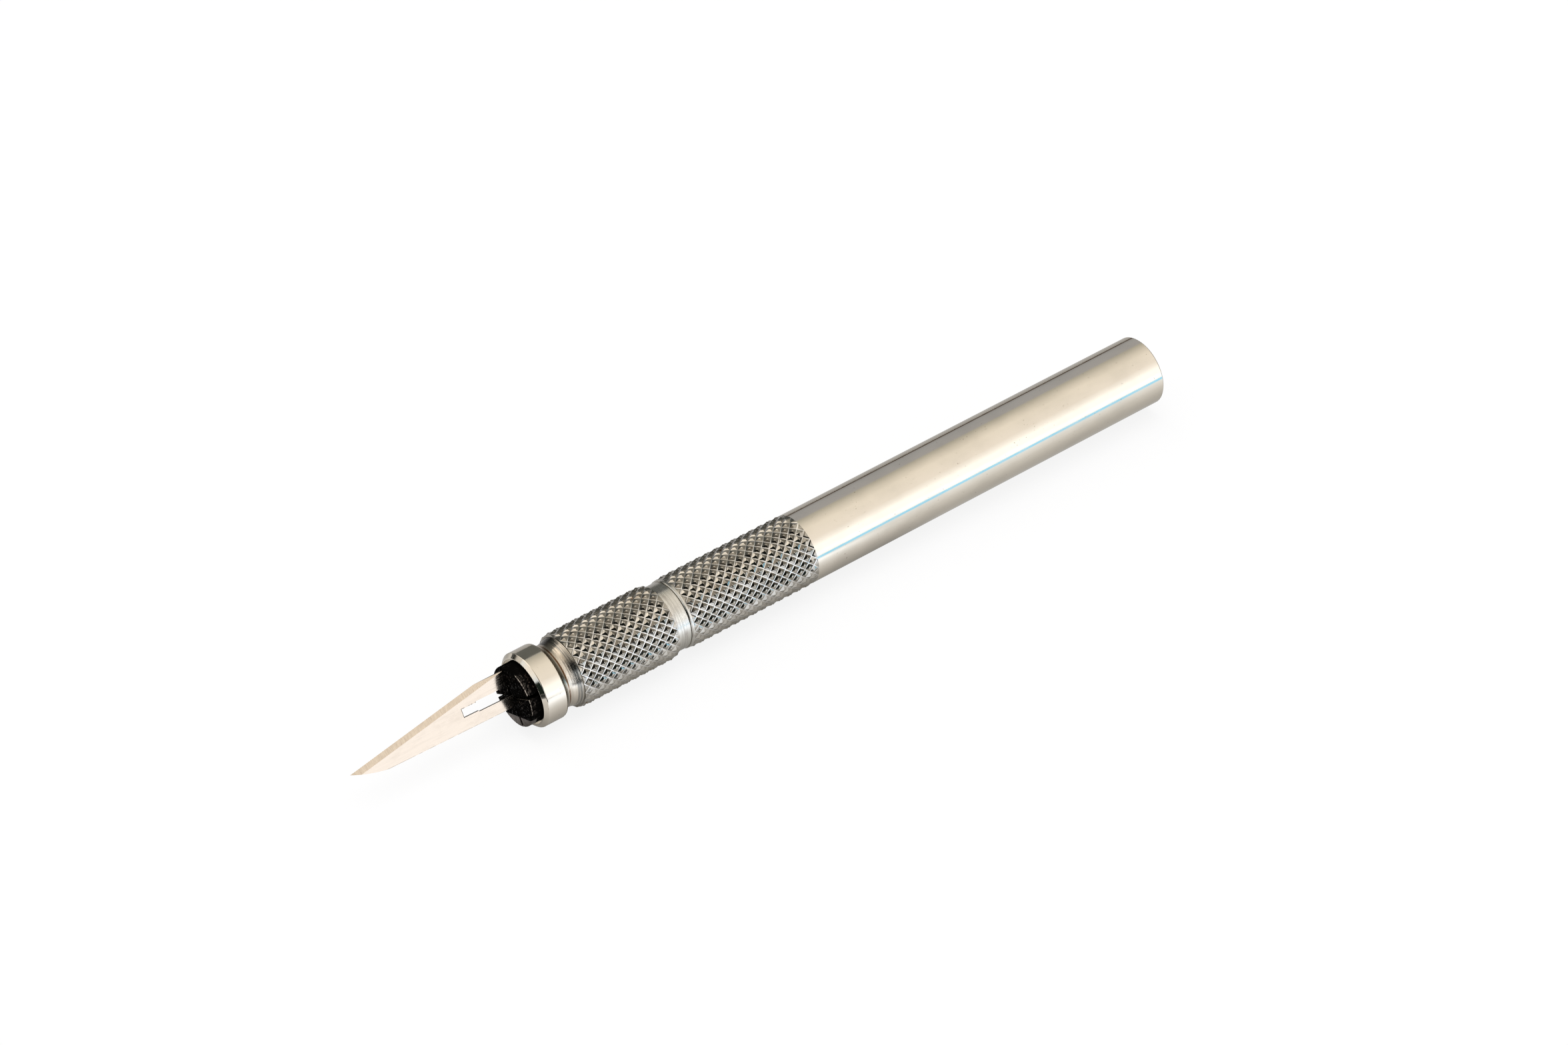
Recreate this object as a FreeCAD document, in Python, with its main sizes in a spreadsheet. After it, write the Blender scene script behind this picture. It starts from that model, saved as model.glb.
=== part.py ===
import FreeCAD, Part
import math
import os
import Sketcher

# A pocket-size precision knife: a turned steel handle with a diamond knurl, a knurled collar on its
# front that turns, and a split chuck inside the collar that grips a slim pointed blade.
# Each piece is drawn along X: the ring's shoulder is at X = 0, the blade points to -X, the butt is at +X.

os.makedirs("parts", exist_ok=True)
doc = FreeCAD.newDocument("PrecisionKnife")

# Driving dimensions, millimetres and degrees
DIMENSIONS = {
    # collar: ring, neck, knurled barrel and waist, from the front
    "lip_length": 0.62,
    "lip_radius": 5.78,
    "mouth_radius": 5.5,
    "ring_radius": 6.38,
    "ring_length": 3.54,
    "ring_edge_round": 0.2,
    "neck_radius": 5.38,
    "neck_foot_round": 0.9,
    "neck_floor_length": 1.9,
    "neck_length": 3.46,
    "neck_flare": 0.5,
    "collar_knurl_radius": 6.42,
    "collar_knurl_length": 18.3,
    "collar_knurl_count": 23,
    "waist_radius": 5.72,
    "waist_length": 2.65,
    "seam_break": 0.12,
    "seam_gap": 0.02,
    # handle: front lip, knurled grip and smooth rod
    "handle_lip_radius": 5.9,
    "handle_lip_length": 0.45,
    "handle_knurl_radius": 6.14,
    "handle_knurl_length": 24.6,
    "handle_knurl_count": 22,
    "smooth_radius": 6.0,
    "handle_length": 98.0,
    "butt_chamfer": 0.25,
    # the diamond knurl on both
    "knurl_pitch": 1.73,
    "knurl_depth": 0.3,
    "knurl_end_drop": 0.2,
    "core_depth": 0.12,
    # chuck: split head, seat cone, shank and threaded end
    "head_radius": 5.16,
    "head_reach": 2.6,
    "head_round": 0.33,
    "seat_length": 3.2,
    "seat_drop": 0.3,
    "seat_clearance": 0.05,
    "shoulder_length": 1.4,
    "shank_radius": 3.0,
    "shank_clearance": 0.1,
    "thread_engagement": 14.0,
    "thread_clearance": 0.05,
    "thread_chamfer": 0.5,
    "bore_spare": 2.5,
    "drill_point": 1.6,
    "slit_length": 18.0,
    "slit_clearance": 0.02,
    # blade
    "blade_width": 6.0,
    "blade_thickness": 0.56,
    "blade_reach": 32.3,
    "blade_tail": 3.0,
    "blade_offset": 1.48,
    "blade_tilt": 1.1,
    "blade_roll": 56.0,
    "tip_height": 1.76,
    "belly_length": 6.2,
    "belly_radius": 26.0,
    "edge_angle": 9.9,
    "bevel_width": 0.93,
    "window_front": 11.4,
    "window_step": 8.7,
    "window_bar": 1.6,
    "window_centre": 2.66,
    "window_front_width": 1.4,
    "window_rear_width": 1.72,
}


class Size:
    """A length that knows its number and the expression that ties it to the sheet."""

    def __init__(self, number, text):
        self.number = number
        self.text = text

    def join(self, sign, other, number):
        text = other.text if isinstance(other, Size) else str(other)
        return Size(number, "(" + self.text + " " + sign + " " + text + ")")

    def __add__(self, other):
        return self.join("+", other, self.number + number_of(other))

    def __sub__(self, other):
        return self.join("-", other, self.number - number_of(other))

    def __mul__(self, other):
        return self.join("*", other, self.number * number_of(other))

    def __truediv__(self, other):
        return self.join("/", other, self.number / number_of(other))

    def __neg__(self):
        return Size(-self.number, "(0 mm - " + self.text + ")")


def number_of(value):
    return value.number if isinstance(value, Size) else float(value)


def fill_sheet():
    """Writes the driving dimensions in the spreadsheet and returns them as sizes by name."""
    sheet = doc.addObject("Spreadsheet::Sheet", "Sizes")
    sizes = {}
    for row, (name, value) in enumerate(DIMENSIONS.items(), start=1):
        sheet.set("A" + str(row), name)
        sheet.set("B" + str(row), str(value))
        sheet.setAlias("B" + str(row), name)
        sizes[name] = Size(float(value), "Sizes." + name + " * 1 mm")
    doc.recompute()
    return sizes


S = fill_sheet()
AXIS = FreeCAD.Vector(1, 0, 0)
NOWHERE = Size(0.0, "0 mm")

# Places along X worked out from the sizes
NECK_END = S["ring_length"] + S["neck_length"]
BARREL_END = NECK_END + S["collar_knurl_length"]
COLLAR_END = BARREL_END + S["waist_length"]
HANDLE_FRONT = COLLAR_END + S["seam_gap"]
GRIP_START = HANDLE_FRONT + S["handle_lip_length"]
GRIP_END = GRIP_START + S["handle_knurl_length"]
BUTT = HANDLE_FRONT + S["handle_length"]
SEAT_END = S["seat_length"]
SHANK_START = SEAT_END + S["shoulder_length"]
SHANK_END = HANDLE_FRONT + S["thread_engagement"]
BORE_END = SHANK_END + S["bore_spare"]


def origin_plane(body, role):
    return [item for item in body.Origin.OriginFeatures if item.Role == role][0]


def new_body(name):
    return doc.addObject("PartDesign::Body", name)


def new_sketch(body, name, role):
    sketch = body.newObject("Sketcher::SketchObject", name)
    sketch.AttachmentSupport = [(origin_plane(body, role), "")]
    sketch.MapMode = "FlatFace"
    return sketch


def tie(sketch, kind, places, size):
    """Adds a dimension to a sketch and binds it to the sheet."""
    index = sketch.addConstraint(Sketcher.Constraint(kind, *places, size.number))
    sketch.setExpression("Constraints[" + str(index) + "]", size.text)


def draw_outline(sketch, points, arcs=None):
    """Draws a closed outline through points, each a pair of sizes along and up the sketch.

    arcs holds {number of a side: radius}, for the sides that bulge outwards, with the outline anticlockwise.
    """
    arcs = arcs or {}
    count = len(points)
    corners = [FreeCAD.Vector(number_of(along), number_of(up), 0) for along, up in points]
    for side in range(count):
        start = corners[side]
        end = corners[(side + 1) % count]
        if side in arcs:
            sketch.addGeometry(bulging_arc(start, end, arcs[side].number), False)
        else:
            sketch.addGeometry(Part.LineSegment(start, end), False)
    for side in range(count):
        sketch.addConstraint(Sketcher.Constraint("Coincident", side, 2, (side + 1) % count, 1))
    for side, (along, up) in enumerate(points):
        pin_point(sketch, side, along, "DistanceX")
        pin_point(sketch, side, up, "DistanceY")
    for side, radius in arcs.items():
        tie(sketch, "Radius", (side,), radius)


def pin_point(sketch, side, size, kind):
    """Fixes the start of a side at a distance from the sketch's origin, or on its axis."""
    if size is NOWHERE:
        axis = -2 if kind == "DistanceX" else -1
        sketch.addConstraint(Sketcher.Constraint("PointOnObject", side, 1, axis))
    else:
        tie(sketch, kind, (-1, 1, side, 1), size)


def bulging_arc(start, end, radius):
    """An arc from start to end, anticlockwise, that bulges to the right of the way from start to end."""
    chord = end - start
    half = chord.Length / 2
    left = FreeCAD.Vector(-chord.y, chord.x, 0).normalize()
    centre = (start + end) / 2 + left * math.sqrt(radius ** 2 - half ** 2)
    first = math.atan2(start.y - centre.y, start.x - centre.x)
    last = math.atan2(end.y - centre.y, end.x - centre.x)
    return Part.ArcOfCircle(Part.Circle(centre, FreeCAD.Vector(0, 0, 1), radius), first, last)


def turn_profile(body, name, points):
    """Turns an outline drawn in the XZ plane about the X axis."""
    sketch = new_sketch(body, name + "_outline", "XZ_Plane")
    draw_outline(sketch, points)
    revolution = body.newObject("PartDesign::Revolution", name)
    revolution.Profile = sketch
    revolution.ReferenceAxis = (sketch, ["H_Axis"])
    revolution.Angle = 360.0
    doc.recompute()
    return revolution


def rims(shape, place, radius):
    """Names the circular edges about the X axis at a place along it, with a radius."""
    found = []
    for number, edge in enumerate(shape.Edges, start=1):
        curve = edge.Curve
        if isinstance(curve, Part.Circle):
            near_place = abs(curve.Center.x - place.number) < 1e-4
            near_radius = abs(curve.Radius - radius.number) < 1e-4
            if near_place and near_radius:
                found.append("Edge" + str(number))
    return found


def round_rims(body, name, base, places, radius):
    """Rounds the rims of a turned body at the places given as pairs of length and radius."""
    fillet = body.newObject("PartDesign::Fillet", name)
    edges = [edge for place, size in places for edge in rims(base.Shape, place, size)]
    fillet.Base = (base, edges)
    fillet.setExpression("Radius", radius.text)
    doc.recompute()
    return fillet


def knurl_solid(count, start, length, crown, front, back):
    """A bar whose side is a diamond knurl: pyramids with their points on the crown and grooves between.

    front and back each give the radius of the grooves and of the points where the knurl ends.
    """
    rows = round(2 * length / DIMENSIONS["knurl_pitch"])
    root = crown - DIMENSIONS["knurl_depth"]
    ways = 2 * count

    def vertex(row, way):
        groove = (row + way) % 2 == 0
        if row == 0:
            radius = front[0] if groove else front[1]
        elif row == rows:
            radius = back[0] if groove else back[1]
        else:
            radius = root if groove else crown
        angle = math.radians(270 + (way + 0.5) * 360 / ways)
        return (start + length * row / rows, radius * math.cos(angle), radius * math.sin(angle))

    points = [vertex(row, way) for row in range(rows + 1) for way in range(ways)]
    facets = []

    def index(row, way):
        return row * ways + way % ways

    for row in range(rows + 1):
        for way in range(ways):
            if (row + way) % 2 == 0:
                continue
            around = [(row - 1, way), (row, way + 1), (row + 1, way), (row, way - 1)]
            for side in range(4):
                first = around[side]
                second = around[(side + 1) % 4]
                if 0 <= first[0] <= rows and 0 <= second[0] <= rows:
                    facets.append((index(row, way), index(*second), index(*first)))
    for row, turn in ((0, 1), (rows, -1)):
        centre = len(points)
        points.append((start + length * row / rows, 0.0, 0.0))
        for way in range(ways):
            pair = (index(row, way), index(row, way + 1))
            facets.append((centre,) + pair[::-turn])
    skin = Part.Shape()
    skin.makeShapeFromMesh((points, facets), 1e-5)
    return Part.makeSolid(skin).removeSplitter()


def add_knurl(name, count, start, length, crown, front, back):
    """Adds a knurl whose facets are worked out from the driving dimensions."""
    knurl = doc.addObject("Part::Feature", name)
    ends = [[size.number for size in pair] for pair in (front, back)]
    shape = knurl_solid(count, start.number, length.number, crown.number, *ends)
    if shape.Volume < 0:
        shape.reverse()
    knurl.Shape = shape
    return knurl


def fuse(name, base, tool):
    joined = doc.addObject("Part::Fuse", name)
    joined.Base = base
    joined.Tool = tool
    doc.recompute()
    return joined


def cut(name, base, tool):
    result = doc.addObject("Part::Cut", name)
    result.Base = base
    result.Tool = tool
    doc.recompute()
    return result


def build_collar():
    """The collar: a polished ring with a chamfered lip, a turned neck, a knurled barrel and a waist."""
    root = S["collar_knurl_radius"] - S["knurl_depth"]
    core = root - S["core_depth"]
    flare = S["neck_radius"] + S["neck_flare"]
    neck_floor = S["ring_length"] + S["neck_floor_length"]
    blank = new_body("collar_blank")
    turned = turn_profile(blank, "collar_turned", [
        (-S["lip_length"], NOWHERE),
        (COLLAR_END, NOWHERE),
        (COLLAR_END, S["waist_radius"] - S["seam_break"]),
        (COLLAR_END - S["seam_break"], S["waist_radius"]),
        (BARREL_END, S["waist_radius"]),
        (BARREL_END, core),
        (NECK_END, core),
        (NECK_END, flare),
        (neck_floor, S["neck_radius"]),
        (S["ring_length"], S["neck_radius"]),
        (S["ring_length"], S["ring_radius"]),
        (NOWHERE, S["ring_radius"]),
        (-S["lip_length"], S["lip_radius"]),
    ])
    foot = round_rims(blank, "neck_foot", turned, [(S["ring_length"], S["neck_radius"])], S["neck_foot_round"])
    edges = [(S["ring_length"], S["ring_radius"]), (NOWHERE, S["ring_radius"])]
    round_rims(blank, "ring_edges", foot, edges, S["ring_edge_round"])

    dropped = S["collar_knurl_radius"] - S["knurl_end_drop"]
    knurl = add_knurl("collar_knurl", DIMENSIONS["collar_knurl_count"], NECK_END, S["collar_knurl_length"],
                      S["collar_knurl_radius"], (root, dropped), (root, dropped))

    hollow = new_body("collar_hollow")
    bore = S["shank_radius"] + S["shank_clearance"]
    seat = S["head_radius"] + S["seat_clearance"]
    turn_profile(hollow, "collar_bored", [
        (-S["lip_length"] * 2, NOWHERE),
        (COLLAR_END + S["lip_length"], NOWHERE),
        (COLLAR_END + S["lip_length"], bore),
        (SHANK_START, bore),
        (SEAT_END, seat - S["seat_drop"]),
        (NOWHERE, seat),
        (NOWHERE, S["mouth_radius"]),
        (-S["lip_length"] * 2, S["mouth_radius"]),
    ])
    return cut("collar", fuse("collar_solid", blank, knurl), hollow)


def build_handle():
    """The handle: a front lip, a knurled grip and a smooth rod, with a blind threaded bore in front."""
    root = S["handle_knurl_radius"] - S["knurl_depth"]
    core = root - S["core_depth"]
    blank = new_body("handle_blank")
    turn_profile(blank, "handle_turned", [
        (HANDLE_FRONT, NOWHERE),
        (BUTT, NOWHERE),
        (BUTT, S["smooth_radius"] - S["butt_chamfer"]),
        (BUTT - S["butt_chamfer"], S["smooth_radius"]),
        (GRIP_END, S["smooth_radius"]),
        (GRIP_END, core),
        (GRIP_START, core),
        (GRIP_START, S["handle_lip_radius"]),
        (HANDLE_FRONT + S["seam_break"], S["handle_lip_radius"]),
        (HANDLE_FRONT, S["handle_lip_radius"] - S["seam_break"]),
    ])
    dropped = S["handle_knurl_radius"] - S["knurl_end_drop"]
    knurl = add_knurl("handle_knurl", DIMENSIONS["handle_knurl_count"], GRIP_START, S["handle_knurl_length"],
                      S["handle_knurl_radius"], (root, dropped), (S["smooth_radius"], S["smooth_radius"]))

    hollow = new_body("handle_hollow")
    bore = S["shank_radius"] + S["thread_clearance"]
    turn_profile(hollow, "handle_bored", [
        (HANDLE_FRONT - S["bore_spare"], NOWHERE),
        (BORE_END + S["drill_point"], NOWHERE),
        (BORE_END, bore),
        (HANDLE_FRONT - S["bore_spare"], bore),
    ])
    return cut("handle", fuse("handle_solid", blank, knurl), hollow)


def cut_slit(body, name, role):
    """Cuts a slit through the chuck's head and shank along one of its planes."""
    half = (S["blade_thickness"] / 2) + S["slit_clearance"]
    start = -S["head_reach"] - S["slit_clearance"]
    end = S["slit_length"] - S["head_reach"]
    sketch = new_sketch(body, name + "_outline", role)
    draw_outline(sketch, [(start, -half), (end, -half), (end, half), (start, half)])
    pocket = body.newObject("PartDesign::Pocket", name)
    pocket.Profile = sketch
    pocket.Type = "Length"
    pocket.Midplane = True
    pocket.setExpression("Length", (S["head_radius"] * 4).text)
    doc.recompute()
    return pocket


def build_chuck():
    """The chuck: a head split crosswise into four jaws, a seat cone, a shank and a threaded end."""
    body = new_body("chuck")
    turned = turn_profile(body, "chuck_turned", [
        (-S["head_reach"], NOWHERE),
        (SHANK_END, NOWHERE),
        (SHANK_END, S["shank_radius"] - S["thread_chamfer"]),
        (SHANK_END - S["thread_chamfer"], S["shank_radius"]),
        (SHANK_START, S["shank_radius"]),
        (SEAT_END, S["head_radius"] - S["seat_drop"]),
        (NOWHERE, S["head_radius"]),
        (-S["head_reach"], S["head_radius"]),
    ])
    round_rims(body, "head_edge", turned, [(-S["head_reach"], S["head_radius"])], S["head_round"])
    whole = body.Shape.Volume
    for name, role in (("blade_slit", "XY_Plane"), ("cross_slit", "XZ_Plane")):
        cut_slit(body, name, role)
        if body.Shape.Volume > whole * 0.999:
            raise RuntimeError(name + " cuts nothing")
        whole = body.Shape.Volume
    return body


def grinding_block(name, side):
    """The block that a grinding wheel takes off one side of the cutting edge; side is 1 or -1."""
    block = doc.addObject("Part::Box", name)
    reach = S["blade_reach"] + S["blade_tail"]
    depth = S["blade_width"] * 2
    block.setExpression("Length", (reach + reach).text)
    block.setExpression("Width", S["blade_width"].text)
    block.setExpression("Height", (depth + S["blade_width"]).text)
    bevel_angle = math.degrees(math.atan2(DIMENSIONS["blade_thickness"] / 2, DIMENSIONS["bevel_width"]))
    slope = FreeCAD.Rotation(FreeCAD.Vector(0, 1, 0), -DIMENSIONS["edge_angle"])
    lean = FreeCAD.Rotation(AXIS, side * bevel_angle)
    tip = FreeCAD.Vector(-DIMENSIONS["blade_reach"], 0, DIMENSIONS["tip_height"])
    low = 0.0 if side > 0 else -DIMENSIONS["blade_width"]
    shift = FreeCAD.Vector(-reach.number / 2, low, -depth.number)
    block.Placement = FreeCAD.Placement(tip, slope.multiply(lean)).multiply(
        FreeCAD.Placement(shift, FreeCAD.Rotation()))
    return block


def build_blade():
    """The blade: a pointed strip with a long straight edge ground on both sides and a stepped window."""
    body = new_body("blade_blank")
    climb = math.tan(math.radians(DIMENSIONS["edge_angle"]))
    shoulder = -S["blade_reach"] + (S["blade_width"] - S["tip_height"]) / climb
    sketch = new_sketch(body, "blade_outline", "XZ_Plane")
    draw_outline(sketch, [
        (-S["blade_reach"], S["tip_height"]),
        (S["belly_length"] - S["blade_reach"], NOWHERE),
        (S["blade_tail"], NOWHERE),
        (S["blade_tail"], S["blade_width"]),
        (shoulder, S["blade_width"]),
    ], arcs={0: S["belly_radius"]})
    pad = body.newObject("PartDesign::Pad", "blade_strip")
    pad.Profile = sketch
    pad.Midplane = True
    pad.setExpression("Length", S["blade_thickness"].text)
    doc.recompute()

    window = new_sketch(body, "window_outline", "XZ_Plane")
    narrow = S["window_front_width"] / 2
    wide = S["window_rear_width"] / 2
    middle = S["window_centre"]
    draw_outline(window, [
        (-S["window_front"], middle - narrow),
        (-S["window_step"], middle - narrow),
        (-S["window_step"], middle - wide),
        (S["blade_tail"] - S["window_bar"], middle - wide),
        (S["blade_tail"] - S["window_bar"], middle + wide),
        (-S["window_step"], middle + wide),
        (-S["window_step"], middle + narrow),
        (-S["window_front"], middle + narrow),
    ])
    pocket = body.newObject("PartDesign::Pocket", "blade_window")
    pocket.Profile = window
    pocket.Type = "Length"
    pocket.Midplane = True
    pocket.setExpression("Length", (S["blade_thickness"] * 2).text)
    doc.recompute()

    ground = cut("blade_near_side", body, grinding_block("near_grind", 1))
    return cut("blade", ground, grinding_block("far_grind", -1))


def check_document():
    """Stops if an object of the document has failed."""
    doc.recompute()
    for item in doc.Objects:
        if "Invalid" in item.State or "Error" in item.State:
            raise RuntimeError(item.Name + " failed: " + str(item.State))


def place_parts(parts):
    """Lays the knife on the ground plane, with its middle over the origin and its blade towards -X."""
    roll = FreeCAD.Rotation(AXIS, DIMENSIONS["blade_roll"] - 90)
    tilt = FreeCAD.Rotation(FreeCAD.Vector(0, 1, 0), DIMENSIONS["blade_tilt"])
    blade_seat = FreeCAD.Placement(FreeCAD.Vector(0, 0, -DIMENSIONS["blade_offset"]), tilt)
    tip = blade_seat.multVec(FreeCAD.Vector(-DIMENSIONS["blade_reach"], 0, DIMENSIONS["tip_height"]))
    middle = (BUTT.number + tip.x) / 2
    half_step = math.radians(90 / DIMENSIONS["collar_knurl_count"])
    axis_height = DIMENSIONS["collar_knurl_radius"] * math.cos(half_step)
    line = FreeCAD.Placement(FreeCAD.Vector(-middle, 0, axis_height), FreeCAD.Rotation())
    rolled = line.multiply(FreeCAD.Placement(FreeCAD.Vector(), roll))
    parts["handle"].Placement = line
    parts["collar"].Placement = line
    parts["chuck"].Placement = rolled
    parts["blade"].Placement = rolled.multiply(blade_seat)
    print("shoulder at X", -middle, "axis at Z", axis_height, "butt at X", BUTT.number - middle)


def export_parts(parts):
    for name, item in parts.items():
        item.Label = name
        shape = item.Shape
        if shape.isNull() or not shape.isValid() or len(shape.Solids) != 1:
            raise RuntimeError(name + " has no single valid solid")
        print(name, "volume", round(shape.Volume, 3), "faces", len(shape.Faces))
    for name, item in parts.items():
        item.Shape.exportStep("parts/" + name + ".step")


PARTS = {
    "handle": build_handle(),
    "collar": build_collar(),
    "chuck": build_chuck(),
    "blade": build_blade(),
}
place_parts(PARTS)
check_document()
export_parts(PARTS)
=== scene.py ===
import math
import random

import bmesh
import bpy
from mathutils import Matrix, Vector


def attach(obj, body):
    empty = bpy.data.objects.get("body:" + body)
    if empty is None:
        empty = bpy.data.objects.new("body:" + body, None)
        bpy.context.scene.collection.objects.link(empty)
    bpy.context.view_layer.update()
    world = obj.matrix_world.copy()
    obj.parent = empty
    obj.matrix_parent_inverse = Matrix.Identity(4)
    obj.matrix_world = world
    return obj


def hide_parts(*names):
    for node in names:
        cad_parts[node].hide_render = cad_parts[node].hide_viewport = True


# A precision craft knife on a pale floor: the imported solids, with finer turned and knurled surfaces.
# Lengths along the knife are millimetres from the ring's shoulder, with the blade on the minus side.

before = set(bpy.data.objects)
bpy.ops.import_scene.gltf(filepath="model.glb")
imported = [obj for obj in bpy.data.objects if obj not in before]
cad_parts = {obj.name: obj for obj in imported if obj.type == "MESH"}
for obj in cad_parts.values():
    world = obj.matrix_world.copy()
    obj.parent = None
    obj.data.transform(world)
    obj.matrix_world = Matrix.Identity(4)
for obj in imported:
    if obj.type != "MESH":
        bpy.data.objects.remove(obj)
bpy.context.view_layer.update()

MM = 0.001
# The ring's shoulder and the knife's axis in the shared frame, in millimetres
SHOULDER_X = -46.855
AXIS_Z = 6.405
TURN = 2 * math.pi

# Lengths along the knife, and the places that they add up to
NECK_LENGTH = 3.46
BARREL_LENGTH = 18.3
WAIST_LENGTH = 2.65
SEAM_GAP = 0.02
HANDLE_LIP_LENGTH = 0.45
GRIP_LENGTH = 24.6
HANDLE_LENGTH = 98.0
SEAT_CONE_LENGTH = 1.4
BORE_LENGTH = 16.5
DRILL_POINT = 1.6
LIP_FRONT = -0.62
RING_END = 3.54
SEAT_END = 3.2
NECK_END = RING_END + NECK_LENGTH
BARREL_END = NECK_END + BARREL_LENGTH
COLLAR_END = BARREL_END + WAIST_LENGTH
HANDLE_FRONT = COLLAR_END + SEAM_GAP
GRIP_START = HANDLE_FRONT + HANDLE_LIP_LENGTH
GRIP_END = GRIP_START + GRIP_LENGTH
BORE_END = HANDLE_FRONT + BORE_LENGTH
BUTT = HANDLE_FRONT + HANDLE_LENGTH

# Radii
MOUTH = 5.5
LIP = 5.78
RING = 6.38
NECK = 5.38
WAIST = 5.72
HANDLE_LIP = 5.9
ROD = 6.0
SEAT = 5.21
SEAT_DROP = 0.3
SHANK_BORE = 3.1
THREAD_BORE = 3.05
COLLAR_CORE = 5.5
HANDLE_CORE = 5.4

# Broken edges and their roundings
SEAM_BREAK = 0.12
BUTT_CHAMFER = 0.25
MOUTH_ROUNDING = 0.08
LIP_ROUNDING = 0.10
RING_FRONT_ROUNDING = 0.22
RING_BACK_ROUNDING = 0.24
BUTT_ROUNDING = 0.12
CHUCK_ROUNDING = 0.08
CHUCK_ROUNDING_STEPS = 2
CHUCK_EDGE_ANGLE = 30

# The neck: its hollow foot, its flare and the lines that the tool left on it and on the waist
FOOT_LENGTH = 1.6
FOOT_HEIGHT = 0.94
FOOT_STEPS = 11
FLARE_START = 5.2
FLARE_HEIGHT = 0.5
FLARE_POWER = 1.6
NECK_LINES = 22
NECK_RIDGE = 0.022
WAIST_LINES = 18
WAIST_RIDGE = 0.008

# Knurls: points on crossing grooves, each a small pyramid with a worn tip
COLLAR_COUNT = 23
COLLAR_ROWS = 21
COLLAR_CROWN = 6.42
HANDLE_COUNT = 22
HANDLE_ROWS = 28
HANDLE_CROWN = 6.14
KNURL_DEPTH = 0.3
END_DROP = 0.2
GROOVE_ROUNDING = 0.09
TIP_ROUNDING = 0.10
RINGS = (0.0, 0.04, 0.10, 0.40, 0.70, 0.91, 0.955, 1.0)
GROOVE_START = 0.92
CORNERS = ((-1, 0), (0, 1), (1, 0), (0, -1))
POINT_LEAN = 0.05
POINT_LEAST_HEIGHT = 0.94
KNURL_START_ANGLE = math.radians(270)

# Faces: how finely the pieces are divided, and the fold that counts as an edge, in degrees
SEGMENTS_PER_POINT = 8
SHARP_ANGLE = 32
# Points nearer than this are one, and shorter edges are dropped, in metres
MERGE_DISTANCE = 1e-7
EMPTY_EDGE = 1e-8
WELD_DISTANCE = 1e-6
# Short straight step beside each rounding, which keeps the long faces' shading flat
SETTLE = 0.02

# The blade's flats lean at this roll about the knife's axis, and the chuck's slits with them
BLADE_ROLL = math.radians(56)
WIDTH_WAY = Vector((0.0, math.cos(BLADE_ROLL), math.sin(BLADE_ROLL)))
FLAT_WAY = Vector((0.0, -math.sin(BLADE_ROLL), math.cos(BLADE_ROLL)))
ALONG_WAY = Vector((1.0, 0.0, 0.0))
BACK_WAY = Vector((0.0, 1.0, 0.0))
UP_WAY = Vector((0.0, 0.0, 1.0))

# The blade's own directions, tilted a little from the knife's axis, and its lower edge's offset from it
BLADE_TILT = math.radians(1.1)
BLADE_OFFSET = 1.48
BLADE_RUN = ALONG_WAY * math.cos(BLADE_TILT) - WIDTH_WAY * math.sin(BLADE_TILT)
BLADE_RISE = WIDTH_WAY * math.cos(BLADE_TILT) + ALONG_WAY * math.sin(BLADE_TILT)
WINDOW_FRONT = -11.4 + BLADE_OFFSET * math.sin(BLADE_TILT)
WINDOW_STEP = -8.7 + BLADE_OFFSET * math.sin(BLADE_TILT)
LOWER_EDGE = -BLADE_OFFSET * math.cos(BLADE_TILT)
WINDOW_LOW = LOWER_EDGE + 1.96
WINDOW_TOP = LOWER_EDGE + 3.36
# Width of the dark lines at the window and of the painted dark reflection at the lower edge, in millimetres
EDGE_LINE_WIDTH = 0.09
# A face of the blade counts as flat, or as a ground bevel, from this share of facing the flat's way
FLAT_LEAN = 0.99
BEVEL_LEAN = 0.8

# Colours of the metal
OXIDE = (0.0022, 0.002, 0.0018, 1.0)
OXIDE_WORN = (0.045, 0.032, 0.024, 1.0)
SIDE_WORN = (0.06, 0.052, 0.045, 1.0)
# The rim's tone: wear, and a painted highlight on the front jaw only
RIM_WEAR_AND_HIGHLIGHT = (0.34, 0.30, 0.26, 1.0)
BARE_STEEL = (0.13, 0.11, 0.10, 1.0)
BARE_DULL = (0.07, 0.06, 0.052, 1.0)
BLADE_BRIGHT = (0.57, 0.508, 0.447, 1.0)
BLADE_SMUDGE = (0.50, 0.44, 0.38, 1.0)
NICKEL = (0.66, 0.61, 0.53, 1.0)
NICKEL_DULL = (0.56, 0.52, 0.45, 1.0)
TURNED_DARK = (0.40, 0.36, 0.29, 1.0)
RUST = (0.16, 0.085, 0.04, 1.0)
PIT = (0.22, 0.18, 0.13, 1.0)
# Knurl nickel, darker than the ring's as painted shade among the points
KNURL_SHADED_LIGHT = (0.41, 0.385, 0.34, 1.0)
KNURL_SHADED_DULL = (0.29, 0.27, 0.235, 1.0)
# Groove nickel, brighter than the ring's as a painted highlight along the grooves
GROOVE_PAINTED_HIGHLIGHT = (0.72, 0.71, 0.70, 1.0)
GROOVE_HIGHLIGHT_DULL = (0.52, 0.50, 0.46, 1.0)
NECK_DULL = (0.66, 0.60, 0.52, 1.0)
FLARE_DARK = (0.13, 0.14, 0.14, 1.0)
WAIST_CLEAN = (0.60, 0.62, 0.615, 1.0)
NECK_BROWN = (0.30, 0.215, 0.135, 1.0)
DIRT = (0.17, 0.135, 0.095, 1.0)
GROUND_BRIGHT = (0.74, 0.64, 0.52, 1.0)
GROUND_DULL = (0.60, 0.51, 0.41, 1.0)
WALL_TONE = (0.10, 0.08, 0.06, 1.0)
WALL_DARK = (0.03, 0.025, 0.02, 1.0)
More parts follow.
